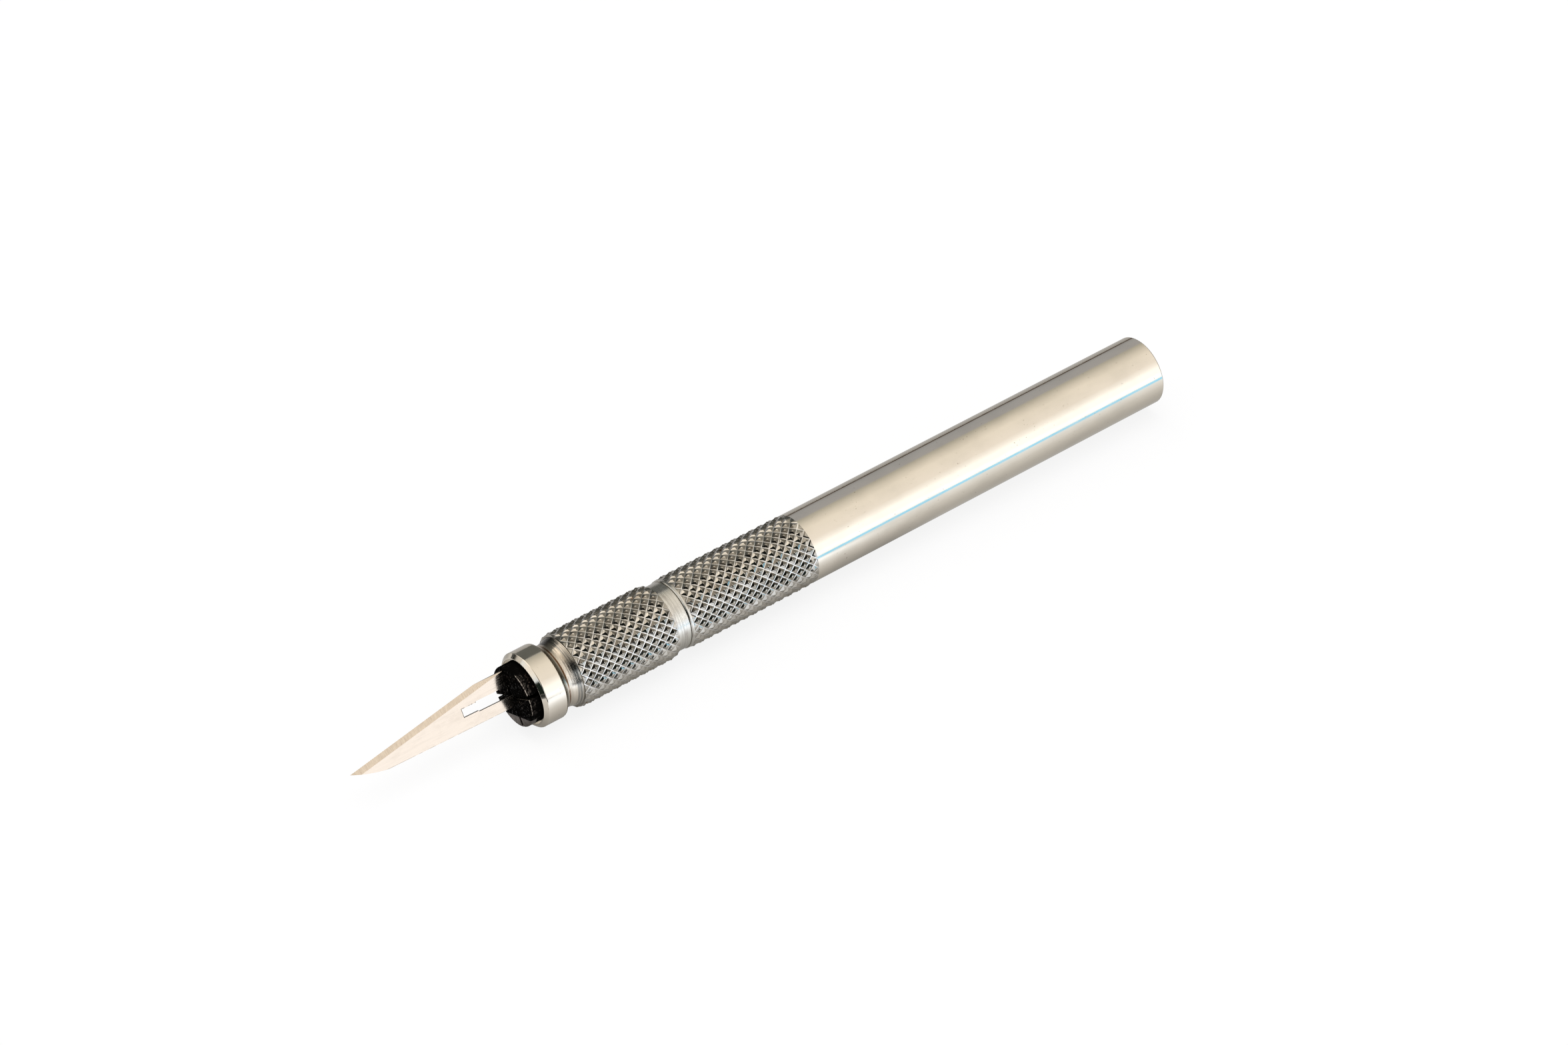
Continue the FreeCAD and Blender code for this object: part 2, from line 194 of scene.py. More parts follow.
# Tone of the dark lines at the window and of the painted dark reflection at the lower edge
EDGE_LINE_TONE = (0.09, 0.075, 0.06, 1.0)
# Painted shade: the dark reflection in the hollow foot behind the ring
FOOT_PAINTED_SHADE = (0.13, 0.13, 0.09, 1.0)
STAIN_BLACK = (0.02, 0.018, 0.015, 1.0)

# Stretches that stains, wear, painted shade and a painted highlight cover, as places along the knife
NECK_STRETCH = (3.6, 6.9)
# The hollow foot behind the ring, where a dark reflection is painted as shade
FOOT_SHADE_STRETCH = (3.0, 4.15)
FLARE_STRETCH = (6.1, 6.9)
RUST_RING_STRETCH = (4.55, 4.75)
BLOT_STRETCH = (5.3, 6.9)
CHUCK_SIDE_STRETCH = (-2.3, -1.5)
CHUCK_RIM_STRETCH = (-2.40, -2.30)
# The jaws across the blade's width, and the lean of the bare edge below them
JAW_STRETCH = (-2.7, 3.6)
BARE_SLOPE = 0.16

# Photograph's camera, in metres and degrees
CAMERA_PLACE = (-0.33296, -0.43562, 0.50979)
CAMERA_AZIMUTH = -37.70
CAMERA_ELEVATION = 42.03
CAMERA_LENS = 107.14
CAMERA_SENSOR = 36.0
CAMERA_NEAR = 0.01
CAMERA_FAR = 50.0


def place(along, radius, angle):
    """A point on a turned surface, in metres: angle runs from +Y towards +Z."""
    across = radius * math.cos(angle)
    up = radius * math.sin(angle)
    return Vector((SHOULDER_X + along, across, AXIS_Z + up)) * MM


# Materials


def new_material(name):
    """A new material with its node tree and its main shader."""
    material = bpy.data.materials.new(name)
    material.use_nodes = True
    tree = material.node_tree
    shader = tree.nodes["Principled BSDF"]
    return material, tree, shader


def add(tree, kind, settings=None, links=None):
    """Adds a node, sets its settings and inputs, and links other sockets to its inputs."""
    node = tree.nodes.new(kind)
    for name, value in (settings or {}).items():
        if isinstance(name, str) and hasattr(node, name):
            setattr(node, name, value)
        else:
            node.inputs[name].default_value = value
    for name, socket in (links or {}).items():
        tree.links.new(socket, node.inputs[name])
    return node


def stretched(tree, scale):
    """Object coordinates multiplied by a scale for each axis, in features per metre."""
    where = add(tree, "ShaderNodeTexCoord")
    mapping = add(tree, "ShaderNodeMapping", {"Scale": scale}, {"Vector": where.outputs["Object"]})
    return mapping.outputs["Vector"]


def noise(tree, scale, detail=3.0, roughness=0.5):
    """Soft noise, its scale for each axis in features per metre."""
    node = add(
        tree,
        "ShaderNodeTexNoise",
        {"Scale": 1.0, "Detail": detail, "Roughness": roughness},
        {"Vector": stretched(tree, scale)},
    )
    return node.outputs["Fac"]


def remap(tree, value, low, high, start=0.0, end=1.0):
    """A value between low and high as a value between start and end, held at both ends."""
    node = add(
        tree,
        "ShaderNodeMapRange",
        {"From Min": low, "From Max": high, "To Min": start, "To Max": end, "clamp": True},
        {"Value": value},
    )
    return node.outputs["Result"]


def calculate(tree, operation, first, second=None):
    """The result of one operation on a socket and, where there is one, a second socket or number."""
    settings = {"operation": operation}
    links = {0: first}
    if isinstance(second, float):
        settings[1] = second
    elif second is not None:
        links[1] = second
    return add(tree, "ShaderNodeMath", settings, links).outputs[0]


def measured(tree, way):
    """Millimetres along a way of each point of a piece, from the ring's shoulder on the knife's axis."""
    where = add(tree, "ShaderNodeTexCoord")
    start = Vector((SHOULDER_X, 0.0, AXIS_Z)).dot(way)
    settings = {"operation": "DOT_PRODUCT", 1: way / MM}
    dot = add(tree, "ShaderNodeVectorMath", settings, {0: where.outputs["Object"]})
    return calculate(tree, "SUBTRACT", dot.outputs["Value"], start)


def times(tree, first, *others):
    """The product of shares."""
    for other in others:
        first = calculate(tree, "MULTIPLY", first, other)
    return first


def band(tree, value, low, high, soft):
    """A share that is 1 between two values and falls to 0 outside them."""
    rise = remap(tree, value, low - soft, low)
    fall = remap(tree, value, high + soft, high)
    return times(tree, rise, fall)


def mix_colour(tree, share, first, second):
    """Mixes two colours, each a socket or a plain colour."""
    node = add(tree, "ShaderNodeMix", {"data_type": "RGBA"})
    tree.links.new(share, node.inputs["Factor"])
    for index, colour in ((6, first), (7, second)):
        if isinstance(colour, tuple):
            node.inputs[index].default_value = colour
        else:
            tree.links.new(colour, node.inputs[index])
    return node.outputs[2]


def bump(tree, height, depth, below=None):
    """A bump of a height socket, its depth in metres, on top of another bump's normal."""
    node = add(tree, "ShaderNodeBump", {"Distance": depth, "Strength": 1.0}, {"Height": height})
    if below is not None:
        tree.links.new(below, node.inputs["Normal"])
    return node.outputs["Normal"]


def polished_plating():
    """Bright nickel with fine rings from polishing, small pits and faint clouds."""
    material, tree, shader = new_material("plated_polished")
    shader.inputs["Metallic"].default_value = 1.0
    clouds = noise(tree, (160, 260, 260), detail=5.0)
    tone = mix_colour(tree, remap(tree, clouds, 0.42, 0.72, 0.0, 0.55), NICKEL, NICKEL_DULL)
    specks = noise(tree, (3100, 3300, 3300), detail=2.0)
    tone = mix_colour(tree, remap(tree, specks, 0.715, 0.77, 0.0, 0.85), tone, PIT)
    tree.links.new(tone, shader.inputs["Base Color"])
    smear = noise(tree, (420, 900, 900), detail=6.0, roughness=0.6)
    tree.links.new(remap(tree, smear, 0.35, 0.75, 0.07, 0.17), shader.inputs["Roughness"])
    rings = noise(tree, (5200, 160, 160), detail=3.0)
    pits = remap(tree, specks, 0.70, 0.78, 1.0, 0.0)
    waves = noise(tree, (190, 420, 420), detail=2.0)
    normal = bump(tree, rings, 2.0e-7)
    normal = bump(tree, waves, 1.6e-6, normal)
    normal = bump(tree, pits, 3.0e-6, normal)
    tree.links.new(normal, shader.inputs["Normal"])
    return material


def turned_plating():
    """Nickel over visible turning lines, browned on the neck's top and by rust stains, with a dark
    reflection painted as shade in the hollow foot behind the ring.
    """
    material, tree, shader = new_material("plated_turned")
    shader.inputs["Metallic"].default_value = 1.0
    lines = noise(tree, (4200, 60, 60), detail=5.0, roughness=0.75)
    stain = noise(tree, (1500, 260, 260), detail=5.0, roughness=0.65)
    tone = mix_colour(tree, remap(tree, lines, 0.35, 0.65, 0.0, 1.0), NICKEL, TURNED_DARK)
    tone = mix_colour(tree, remap(tree, stain, 0.53, 0.68, 0.0, 0.7), tone, RUST)
    along = measured(tree, ALONG_WAY)
    back = measured(tree, BACK_WAY)
    height = measured(tree, UP_WAY)
    neck = band(tree, along, *NECK_STRETCH, 0.1)
    dulled = times(tree, neck, remap(tree, stain, 0.30, 0.55, 0.35, 0.9))
    tone = mix_colour(tree, dulled, tone, NECK_DULL)
    # Painted shade: a dark reflection in the hollow foot behind the ring, broken by the turning lines
    foot_painted_shade = times(tree, band(tree, along, *FOOT_SHADE_STRETCH, 0.35), remap(tree, lines, 0.8, 0.3))
    tone = mix_colour(tree, foot_painted_shade, tone, FOOT_PAINTED_SHADE)
    brown = times(tree, neck, remap(tree, back, -3.4, -0.4, 0.0, 0.28), remap(tree, height, 1.0, 4.0))
    tone = mix_colour(tree, brown, tone, NECK_BROWN)
    flare_lines = times(tree, band(tree, along, *FLARE_STRETCH, 0.15),
                        remap(tree, lines, 0.44, 0.58, 0.35, 0.95))
    tone = mix_colour(tree, flare_lines, tone, FLARE_DARK)
    clean = remap(tree, band(tree, along, BARREL_END, GRIP_START, 0.1), 0.0, 1.0, 0.0, 0.45)
    tone = mix_colour(tree, clean, tone, WAIST_CLEAN)
    rust_ring = times(tree, band(tree, along, *RUST_RING_STRETCH, 0.12), remap(tree, stain, 0.36, 0.5))
    tone = mix_colour(tree, rust_ring, tone, RUST)
    top_back = times(tree, remap(tree, back, 0.2, 2.6), remap(tree, height, 0.5, 3.0))
    blot = times(tree, band(tree, along, *BLOT_STRETCH, 0.5), top_back, remap(tree, stain, 0.30, 0.45))
    tone = mix_colour(tree, blot, tone, STAIN_BLACK)
    tree.links.new(tone, shader.inputs["Base Color"])
    tree.links.new(remap(tree, lines, 0.3, 0.8, 0.10, 0.24), shader.inputs["Roughness"])
    tree.links.new(bump(tree, lines, 3.0e-5), shader.inputs["Normal"])
    return material


def knurl_plating():
    """Nickel on rolled points, darker than the ring's nickel as painted shade among the points, a little
    duller in places, with rare rust specks.
    """
    material, tree, shader = new_material("plated_knurl")
    shader.inputs["Metallic"].default_value = 1.0
    clouds = noise(tree, (300, 420, 420), detail=6.0, roughness=0.65)
    # Painted shade: the knurl's tones sit well below the ring's nickel
    tone = mix_colour(tree, remap(tree, clouds, 0.42, 0.66, 0.0, 1.0), KNURL_SHADED_LIGHT, KNURL_SHADED_DULL)
    dirt = noise(tree, (150, 240, 240), detail=5.0, roughness=0.7)
    tone = mix_colour(tree, remap(tree, dirt, 0.56, 0.68, 0.0, 0.6), tone, DIRT)
    specks = noise(tree, (900, 1000, 1000), detail=4.0)
    tone = mix_colour(tree, remap(tree, specks, 0.66, 0.74, 0.0, 0.9), tone, RUST)
    tree.links.new(tone, shader.inputs["Base Color"])
    tree.links.new(remap(tree, clouds, 0.35, 0.75, 0.06, 0.14), shader.inputs["Roughness"])
    dents = noise(tree, (2600, 2600, 2600), detail=2.0)
    tree.links.new(bump(tree, dents, 4.0e-6), shader.inputs["Normal"])
    return material


def groove_highlight_plating():
    """Nickel in the bottoms of the grooves, brighter than the ring's nickel as a painted highlight."""
    material, tree, shader = new_material("plated_groove_highlight")
    shader.inputs["Metallic"].default_value = 1.0
    clouds = noise(tree, (500, 700, 700), detail=4.0)
    tone = mix_colour(tree, remap(tree, clouds, 0.42, 0.66), GROOVE_PAINTED_HIGHLIGHT, GROOVE_HIGHLIGHT_DULL)
    tree.links.new(tone, shader.inputs["Base Color"])
    shader.inputs["Roughness"].default_value = 0.10
    return material


def blackened_steel():
    """Black oxide on the chuck: speckled on its face, rubbed and painted lighter as a highlight at its front
    jaw's rim, and bare along its lower edge.
    """
    material, tree, shader = new_material("blackened_steel")
    along = measured(tree, ALONG_WAY)
    width = measured(tree, WIDTH_WAY)
    depth = measured(tree, FLAT_WAY)
    specks = noise(tree, (2400, 2800, 2800), detail=5.0, roughness=0.7)
    streaks = noise(tree, (900, 1500, 1500), detail=5.0)
    jaw = band(tree, width, *JAW_STRETCH, 0.3)
    patches = remap(tree, noise(tree, (400, 500, 500), detail=2.0), 0.44, 0.60)
    tone = mix_colour(tree, times(tree, jaw, patches, remap(tree, specks, 0.56, 0.66)), OXIDE, OXIDE_WORN)
    side = times(tree, band(tree, along, *CHUCK_SIDE_STRETCH, 0.1), jaw, remap(tree, specks, 0.50, 0.64))
    tone = mix_colour(tree, side, tone, SIDE_WORN)
    # Painted highlight with wear: the rim lighter on the front jaw only
    rim = times(tree, band(tree, along, *CHUCK_RIM_STRETCH, 0.03), jaw,
                remap(tree, specks, 0.42, 0.56), remap(tree, depth, 0.5, 2.0))
    tone = mix_colour(tree, rim, tone, RIM_WEAR_AND_HIGHLIGHT)
    edge = calculate(tree, "ADD", width, calculate(tree, "MULTIPLY", depth, BARE_SLOPE))
    bare = times(tree, remap(tree, edge, -3.35, -3.5), remap(tree, along, -1.4, -1.6))
    bare_tone = mix_colour(tree, remap(tree, streaks, 0.4, 0.7), BARE_STEEL, BARE_DULL)
    tone = mix_colour(tree, bare, tone, bare_tone)
    tree.links.new(tone, shader.inputs["Base Color"])
    tree.links.new(bare, shader.inputs["Metallic"])
    shader.inputs["Roughness"].default_value = 0.42
    gloss = calculate(tree, "MAXIMUM", remap(tree, specks, 0.55, 0.7, 0.0, 0.08), bare)
    tree.links.new(gloss, shader.inputs["Specular IOR Level"])
    tree.links.new(bump(tree, specks, 1.5e-5), shader.inputs["Normal"])
    return material


def blade_steel():
    """Bright strip steel with fine rolling lines, dark lines at its window's front and top, and a painted
    dark reflection along its lower edge.
    """
    material, tree, shader = new_material("blade_steel")
    shader.inputs["Metallic"].default_value = 1.0
    grain = noise(tree, (200, 5200, 5200), detail=4.0, roughness=0.6)
    smudge = noise(tree, (330, 700, 700), detail=6.0, roughness=0.65)
    tone = mix_colour(tree, remap(tree, smudge, 0.48, 0.74, 0.0, 0.8), BLADE_BRIGHT, BLADE_SMUDGE)
    tone = mix_colour(tree, remap(tree, grain, 0.5, 0.75, 0.0, 0.35), tone, BLADE_SMUDGE)
    run = measured(tree, BLADE_RUN)
    rise = measured(tree, BLADE_RISE)
    chips = remap(tree, noise(tree, (1900, 1900, 1900), detail=2.0), 0.36, 0.50, 0.25, 1.0)
    front = times(tree, band(tree, run, WINDOW_FRONT - EDGE_LINE_WIDTH, WINDOW_FRONT, 0.02),
                  band(tree, rise, WINDOW_LOW, WINDOW_TOP, 0.05), chips)
    tone = mix_colour(tree, front, tone, EDGE_LINE_TONE)
    top = times(tree, band(tree, rise, WINDOW_TOP, WINDOW_TOP + EDGE_LINE_WIDTH, 0.02),
                band(tree, run, WINDOW_FRONT, WINDOW_STEP, 0.1), remap(tree, chips, 0.6, 1.0, 0.0, 0.8))
    tone = mix_colour(tree, top, tone, EDGE_LINE_TONE)
    # Painted dark reflection along the lower edge
    lower = remap(tree, rise, LOWER_EDGE + EDGE_LINE_WIDTH, LOWER_EDGE + EDGE_LINE_WIDTH / 3)
    tone = mix_colour(tree, times(tree, lower, remap(tree, chips, 0.4, 1.0, 0.0, 0.5)), tone, EDGE_LINE_TONE)
    tree.links.new(tone, shader.inputs["Base Color"])
    tree.links.new(remap(tree, grain, 0.3, 0.75, 0.10, 0.20), shader.inputs["Roughness"])
    tree.links.new(bump(tree, grain, 6.0e-7), shader.inputs["Normal"])
    return material


def ground_steel():
    """The ground bevels: tan steel with fine lines across the edge."""
    material, tree, shader = new_material("blade_ground")
    shader.inputs["Metallic"].default_value = 1.0
    lines = noise(tree, (9000, 800, 800), detail=3.0, roughness=0.6)
    tone = mix_colour(tree, remap(tree, lines, 0.38, 0.64), GROUND_BRIGHT, GROUND_DULL)
    tree.links.new(tone, shader.inputs["Base Color"])
    shader.inputs["Roughness"].default_value = 0.32
    tree.links.new(bump(tree, lines, 3.0e-6), shader.inputs["Normal"])
    return material


def wall_steel():
    """The strip's cut edges: dark steel left rough by stamping."""
    material, tree, shader = new_material("blade_wall")
    shader.inputs["Metallic"].default_value = 1.0
    clouds = noise(tree, (900, 2500, 2500), detail=3.0)
    tone = mix_colour(tree, remap(tree, clouds, 0.4, 0.7), WALL_TONE, WALL_DARK)
    tree.links.new(tone, shader.inputs["Base Color"])
    shader.inputs["Roughness"].default_value = 0.4
    return material


POLISHED = polished_plating()
TURNED = turned_plating()
KNURLED = knurl_plating()
GROOVED = groove_highlight_plating()
BLACKENED = blackened_steel()
BLADE_STEEL = blade_steel()
GROUND_STEEL = ground_steel()
WALL_STEEL = wall_steel()
PLATINGS = [POLISHED, TURNED, KNURLED, GROOVED]
POLISHED_INDEX, TURNED_INDEX, KNURLED_INDEX, GROOVED_INDEX = range(4)


# Turned surfaces


def rounded(corners, steps=6):
    """Makes a line of points from corners, each (along, radius, rounding)."""
    line = []
    for number, (along, radius, rounding) in enumerate(corners):
        here = Vector((along, radius))
        if rounding == 0 or number in (0, len(corners) - 1):
            line.append(tuple(here))
            continue
        before = (Vector(corners[number - 1][:2]) - here).normalized()
        after = (Vector(corners[number + 1][:2]) - here).normalized()
        opening = before.angle(after)
        reach = rounding / math.tan(opening / 2)
        centre = here + (before + after).normalized() * rounding / math.sin(opening / 2)
        start = here + before * reach - centre
        end = here + after * reach - centre
        sweep = math.pi - opening
        line.append(tuple(here + before * (reach + SETTLE)))
        for step in range(steps + 1):
            share = step / steps
            weights = math.sin((1 - share) * sweep), math.sin(share * sweep)
            line.append(tuple(centre + (start * weights[0] + end * weights[1]) / math.sin(sweep)))
        line.append(tuple(here + after * (reach + SETTLE)))
    return line


def turn(mesh, line, segments, material_index):
    """Turns a line of (along, radius) points about the knife's axis."""
    rings = []
    for along, radius in line:
        if radius < 1e-6:
            rings.append([mesh.verts.new(place(along, 0.0, 0.0))])
        else:
            angles = [TURN * number / segments for number in range(segments)]
            rings.append([mesh.verts.new(place(along, radius, angle)) for angle in angles])
    for first, second in zip(rings, rings[1:]):
        for number in range(segments):
            following = (number + 1) % segments
            corners = [first[number % len(first)], second[number % len(second)]]
            if len(second) > 1:
                corners.append(second[following])
            if len(first) > 1:
                corners.append(first[following])
            mesh.faces.new(corners).material_index = material_index


def turning_lines(start, end, count, depth, radius_at, seed):
    """Fine ridges left by the tool, as points along a turned surface."""
    chance = random.Random(seed)
    line = []
    for number in range(count):
        along = start + (end - start) * number / (count - 1)
        line.append((along, radius_at(along) - depth * chance.random() * (number % 2)))
    return line


def point_height(reach):
    """Height of a pyramid as a share of its depth: reach is 0 at the tip and 1 in the groove."""
    if reach < TIP_ROUNDING:
        return 1 - TIP_ROUNDING / 2 - reach * reach / (2 * TIP_ROUNDING)
    if reach > 1 - GROOVE_ROUNDING:
        return (1 - reach) ** 2 / (2 * GROOVE_ROUNDING) + GROOVE_ROUNDING / 2
    return 1 - reach


def knurl(mesh, start, end, rows, count, radius_at, seed):
    """Builds the knurl between two places; radius_at(row, height) gives the surface's radius."""
    chance = random.Random(seed)
    ways = 2 * count

    def spot(row, way, height):
        angle = KNURL_START_ANGLE + (way + 0.5) * TURN / ways
        return place(start + (end - start) * row / rows, radius_at(row, height), angle)

    for row in range(rows + 1):
        for way in range(ways):
            if (row + way) % 2 == 0:
                continue
            lean_along = chance.uniform(-POINT_LEAN, POINT_LEAN) if 0 < row < rows else 0.0
            lean_across = chance.uniform(-POINT_LEAN, POINT_LEAN)
            squash = chance.uniform(POINT_LEAST_HEIGHT, 1.0)
            ring_corners = []
            for ring in RINGS:
                height = point_height(ring) * (squash + (1 - squash) * ring)
                corners = {}
                for number, (up, across) in enumerate(CORNERS):
                    along = row + up * ring + lean_along * (1 - ring)
                    around = way + across * ring + lean_across * (1 - ring)
                    if 0 <= row + up <= rows:
                        corners[number] = mesh.verts.new(spot(along, around, height))
                ring_corners.append(corners)
            for reach, inner, outer in zip(RINGS[1:], ring_corners, ring_corners[1:]):
                for number in range(4):
                    following = (number + 1) % 4
                    if number in outer and following in outer:
                        sides = (inner[number], inner[following], outer[following], outer[number])
                        face = mesh.faces.new(sides)
                        # The grooves' bottoms take the plating with the painted highlight
                        face.material_index = GROOVED_INDEX if reach > GROOVE_START else KNURLED_INDEX


def end_walls(mesh, start, end, rows, count, radius_at, inner):
    """Closes a knurl's two ends down to an inner radius."""
    ways = 2 * count
    for row, along in ((0, start), (rows, end)):
        for way in range(ways):
            if (row + way) % 2 == 0:
                continue
            for side in (-1, 1):
                for near, far in zip(RINGS, RINGS[1:]):
                    pair = []
                    for ring in (near, far):
                        angle = KNURL_START_ANGLE + (way + side * ring + 0.5) * TURN / ways
                        top = mesh.verts.new(place(along, radius_at(row, point_height(ring)), angle))
                        foot = mesh.verts.new(place(along, inner, angle))
                        pair.append((top, foot))
                    face = mesh.faces.new((pair[0][0], pair[1][0], pair[1][1], pair[0][1]))
                    face.material_index = KNURLED_INDEX


def finish_mesh(mesh, name):
    """Joins shared points, turns the faces outwards and makes a plated piece with crisp folds."""
    bmesh.ops.remove_doubles(mesh, verts=mesh.verts, dist=MERGE_DISTANCE)
    bmesh.ops.dissolve_degenerate(mesh, edges=mesh.edges, dist=EMPTY_EDGE)
    bmesh.ops.recalc_face_normals(mesh, faces=mesh.faces)
    data = bpy.data.meshes.new(name)
    mesh.to_mesh(data)
    mesh.free()
    for material in PLATINGS:
        data.materials.append(material)
    data.polygons.foreach_set("use_smooth", [True] * len(data.polygons))
    data.set_sharp_from_angle(angle=math.radians(SHARP_ANGLE))
    piece = bpy.data.objects.new(name, data)
    bpy.context.scene.collection.objects.link(piece)
    return piece


def collar_radius(row, height):
    """The collar's knurl falls a little at both ends."""
    drop = END_DROP * max(0.0, 1 - min(row, COLLAR_ROWS - row))
    root = COLLAR_CROWN - KNURL_DEPTH
    return root + (KNURL_DEPTH - drop) * height


def handle_radius(row, height):
    """The handle's knurl falls a little in front and runs out into the rod behind."""
    drop = END_DROP * max(0.0, 1 - row)
    root = HANDLE_CROWN - KNURL_DEPTH
    radius = root + (KNURL_DEPTH - drop) * height
    runout = max(0.0, row - (HANDLE_ROWS - 1))
    return radius + (ROD - radius) * runout


def neck_radius(along):
    """The neck: a hollow foot behind the ring, a slim floor and a flare up to the barrel."""
    if along < RING_END + FOOT_LENGTH:
        share = (RING_END + FOOT_LENGTH - along) / FOOT_LENGTH
        return NECK + FOOT_HEIGHT * (1 - math.sqrt(max(0.0, 1 - share ** 2)))
    share = max(0.0, (along - FLARE_START) / (NECK_END - FLARE_START))
    return NECK + FLARE_HEIGHT * share ** FLARE_POWER


def build_collar():
    """The knurled collar with its polished ring, turned neck and waist."""
    mesh = bmesh.new()
    segments = COLLAR_COUNT * SEGMENTS_PER_POINT
    bore_and_ring = rounded([
        (COLLAR_END, SHANK_BORE, 0),
        (SEAT_END + SEAT_CONE_LENGTH, SHANK_BORE, 0),
        (SEAT_END, SEAT - SEAT_DROP, 0),
        (0.0, SEAT, 0),
        (0.0, MOUTH, 0),
        (LIP_FRONT, MOUTH, MOUTH_ROUNDING),
        (LIP_FRONT, LIP, LIP_ROUNDING),
        (0.0, RING, RING_FRONT_ROUNDING),
        (RING_END, RING, RING_BACK_ROUNDING),
        (RING_END, NECK + FOOT_HEIGHT, 0),
    ])
    turn(mesh, bore_and_ring, segments, POLISHED_INDEX)
    sweeps = [TURN / 4 * step / FOOT_STEPS for step in range(FOOT_STEPS + 1)]
    foot = [RING_END + FOOT_LENGTH * (1 - math.cos(sweep)) for sweep in sweeps]
    neck = [(along, neck_radius(along)) for along in foot[:-1]]
    neck += turning_lines(foot[-1], NECK_END, NECK_LINES, NECK_RIDGE, neck_radius, seed=3)
    turn(mesh, neck + [(NECK_END, NECK)], segments, TURNED_INDEX)
    knurl(mesh, NECK_END, BARREL_END, COLLAR_ROWS, COLLAR_COUNT, collar_radius, seed=11)
    end_walls(mesh, NECK_END, BARREL_END, COLLAR_ROWS, COLLAR_COUNT, collar_radius, inner=COLLAR_CORE)
    waist_end = COLLAR_END - SEAM_BREAK
    waist = [(BARREL_END, COLLAR_CORE)]
    waist += turning_lines(BARREL_END, waist_end, WAIST_LINES, WAIST_RIDGE, lambda along: WAIST, seed=5)
    waist += [(COLLAR_END, WAIST - SEAM_BREAK), (COLLAR_END, SHANK_BORE)]
    turn(mesh, waist, segments, TURNED_INDEX)
    piece = finish_mesh(mesh, "collar_turned")
    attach(piece, "collar")
    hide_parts("collar")


def build_handle():
    """The handle: its front lip, knurled grip, smooth rod and blind bore."""
    mesh = bmesh.new()
    segments = HANDLE_COUNT * SEGMENTS_PER_POINT
    front = [
        (BORE_END + DRILL_POINT, 0.0),
        (BORE_END, THREAD_BORE),
        (HANDLE_FRONT, THREAD_BORE),
        (HANDLE_FRONT, HANDLE_LIP - SEAM_BREAK),
        (HANDLE_FRONT + SEAM_BREAK, HANDLE_LIP),
        (GRIP_START, HANDLE_LIP),
        (GRIP_START, HANDLE_CORE),
    ]
    turn(mesh, front, segments, TURNED_INDEX)
    knurl(mesh, GRIP_START, GRIP_END, HANDLE_ROWS, HANDLE_COUNT, handle_radius, seed=17)
    end_walls(mesh, GRIP_START, GRIP_END, HANDLE_ROWS, HANDLE_COUNT, handle_radius, inner=HANDLE_CORE)
    rod = rounded([
        (GRIP_END, ROD, 0),
        (BUTT - BUTT_CHAMFER, ROD, BUTT_ROUNDING),
        (BUTT, ROD - BUTT_CHAMFER, BUTT_ROUNDING),
        (BUTT, 0.0, 0),
    ])
    turn(mesh, rod, segments, POLISHED_INDEX)
    piece = finish_mesh(mesh, "handle_turned")
    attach(piece, "handle")
    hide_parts("handle")


def soften(node):
    """Breaks a solid's sharp edges with a small bevel, without changing its mesh."""
    weld = node.modifiers.new("join", "WELD")
    weld.merge_threshold = WELD_DISTANCE
    edge = node.modifiers.new("edges", "BEVEL")
    edge.width = CHUCK_ROUNDING * MM
    edge.segments = CHUCK_ROUNDING_STEPS
    edge.limit_method = "ANGLE"
    edge.angle_limit = math.radians(CHUCK_EDGE_ANGLE)
    edge.harden_normals = True


def dress(node, materials):
    """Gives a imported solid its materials."""
    node.data.materials.clear()
    for material in materials:
        node.data.materials.append(material)


def build_chuck():
    """The chuck's solid with its edges broken."""
    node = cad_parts["chuck"]
    dress(node, [BLACKENED])
    soften(node)


def build_blade():
    """The strip's flats are bright, its slanting bevels ground, and its cut edges dark."""
    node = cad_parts["blade"]
    dress(node, [BLADE_STEEL, GROUND_STEEL, WALL_STEEL])
    for face in node.data.polygons:
        lean = abs(face.normal.dot(FLAT_WAY))
        if lean > FLAT_LEAN:
            face.material_index = 0
        else:
            face.material_index = 1 if lean > BEVEL_LEAN else 2


build_collar()
build_handle()
build_chuck()
build_blade()


# Studio, in metres

FLOOR_REACH = 6.0
FLOOR_TONE = (0.90, 0.92, 0.97, 1.0)
# How much of the floor's seen brightness is plain white of its own, so that its shadow stays faint
FLOOR_WHITE_SHARE = 0.85
LAMP_WIDTH = 1.0
LAMP_POWER = 5.0
LAMP_PLACE = (0.1, -0.1, 1.2)
# Brightness that a colour of 1 stands for in the ramps below
LIGHT_REACH = 2.4


def add_plane(name, corners, material):
    """A flat four-sided piece of the studio."""
    mesh = bmesh.new()
    mesh.faces.new([mesh.verts.new(corner) for corner in corners])
    data = bpy.data.meshes.new(name)
    mesh.to_mesh(data)
    mesh.free()
    data.materials.append(material)
    piece = bpy.data.objects.new(name, data)
    bpy.context.scene.collection.objects.link(piece)
    return piece


